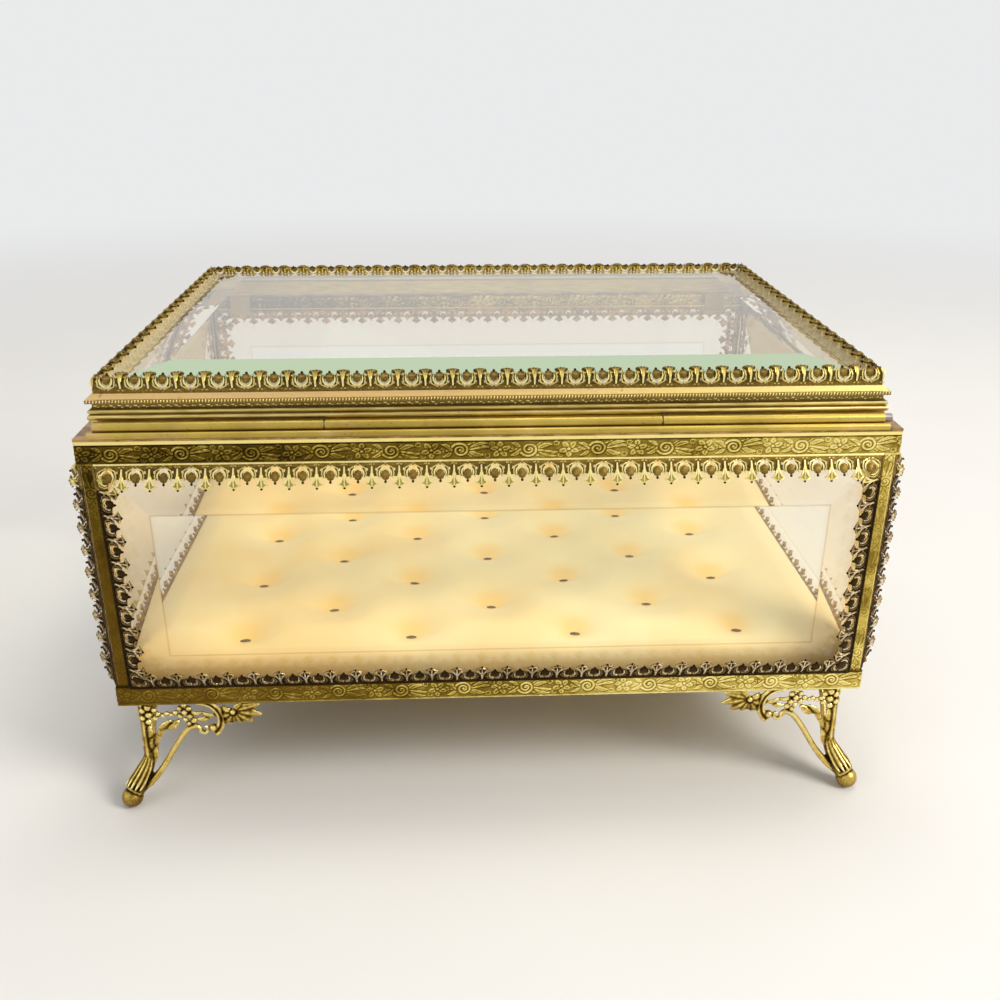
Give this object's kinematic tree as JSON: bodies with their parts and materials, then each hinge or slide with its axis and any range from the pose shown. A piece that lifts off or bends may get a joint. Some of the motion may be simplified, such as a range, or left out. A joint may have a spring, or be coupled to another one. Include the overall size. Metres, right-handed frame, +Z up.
{
  "type": "glass casket box",
  "caption": "Bevelled glass and gilt brass casket box on four cast corner feet, with filigree trims, a tufted cushion and a hinged glass lid.",
  "frame": {"origin": "centre of the footprint on the plane that the feet stand on", "axes": "+Z up, +X along the box's length, -Y towards the hinged side, +Y towards the side that the lid opens on"},
  "size_m": [0.1874, 0.1334, 0.1095],
  "materials": {
    "gilt_brass": "gilt stamped brass strip with worn highlights and dark patina in the embossing",
    "filigree": "gilt openwork strip, oxidised in its recesses",
    "cast_feet": "gilt cast metal with dark recesses",
    "floor_sheet": "plain brass sheet, dulled",
    "bevelled_glass": "clear polished plate glass with a faint green edge",
    "satin": "cream satin with a soft sheen",
    "thread": "dull sewing thread",
    "board": "plain card",
    "pin_steel": "dull steel wire with a formed head"
  },
  "bodies": {
    "body": {"lower_band": "gilt_brass", "upper_band": "gilt_brass", "body_rim": "gilt_brass", "floor_pan": "floor_sheet", "corner_post_rear_left": "gilt_brass", "corner_post_rear_right": "gilt_brass", "corner_post_front_left": "gilt_brass", "corner_post_front_right": "gilt_brass", "pane_rear": "bevelled_glass", "pane_right": "bevelled_glass", "pane_front": "bevelled_glass", "pane_left": "bevelled_glass", "pane_clips": "floor_sheet", "trim_rear": "filigree", "trim_right": "filigree", "trim_front": "filigree", "trim_left": "filigree", "foot_rear_left": "cast_feet", "foot_rear_right": "cast_feet", "foot_front_left": "cast_feet", "foot_front_right": "cast_feet", "cushion_board": "board", "cushion": "satin", "tufting_stitches": "thread", "hinge_leaf_lower": "gilt_brass", "hinge_pin": "pin_steel"},
    "lid": {"hinge_leaf_upper": "gilt_brass", "lid_frame": "gilt_brass", "lid_pane": "bevelled_glass", "lid_trim": "filigree"}
  },
  "joints": [
    {"name": "lid_hinge", "type": "hinge", "parent": "body", "child": "lid", "pos_m": [0, -0.0623, 0.0982], "axis": [1, 0, 0], "range_deg": [0, 110]}
  ]
}
